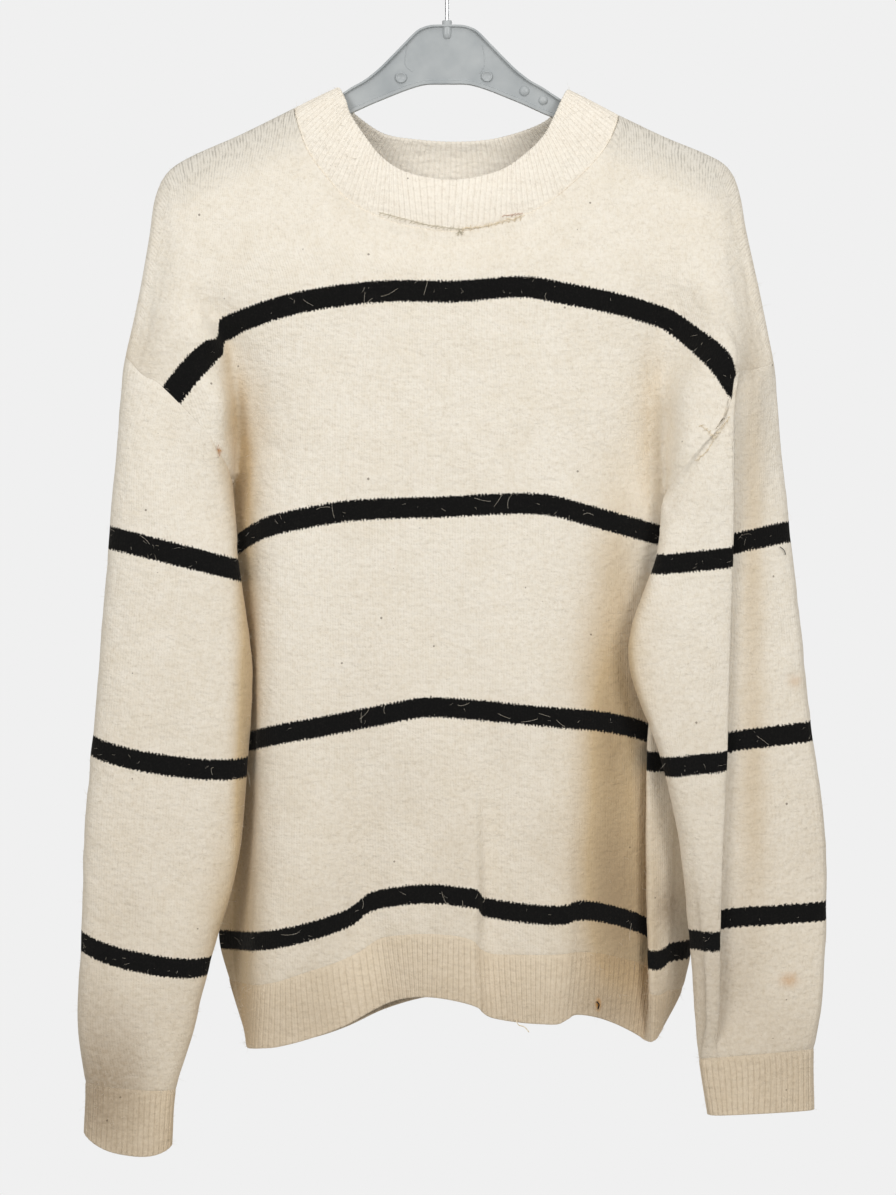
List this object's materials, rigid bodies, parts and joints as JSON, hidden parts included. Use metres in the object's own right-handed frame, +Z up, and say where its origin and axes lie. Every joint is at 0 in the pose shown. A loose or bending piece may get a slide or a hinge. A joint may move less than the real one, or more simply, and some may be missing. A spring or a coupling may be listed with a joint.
{
  "type": "knitted sweater on clothes hanger",
  "caption": "Long-sleeved striped wool sweater with dropped shoulders, ribbed crew neck, hem and cuffs, hung on a plastic hanger with a wire hook.",
  "frame": {"origin": "inner top of the hook's bow, where it rests on a rail", "axes": "+Z up, +X to the right as seen from the front, and the front of the garment faces -Y"},
  "size_m": [0.5462, 0.0962, 0.9059],
  "materials": {
    "felted_knit": "felted off-white wool knit with four black stripes on the body and three on each sleeve",
    "rib_knit": "off-white one-by-one rib",
    "hanger_plastic": "moulded grey, slightly satin",
    "hook_wire": "drawn wire"
  },
  "bodies": {
    "root": {"body_front": "felted_knit", "body_back": "felted_knit", "sleeve_left": "felted_knit", "sleeve_right": "felted_knit", "neck_rib": "rib_knit", "hem_rib_front": "rib_knit", "hem_rib_back": "rib_knit", "cuff_left": "rib_knit", "cuff_right": "rib_knit", "hanger": "hanger_plastic", "hook": "hook_wire"}
  },
  "joints": []
}
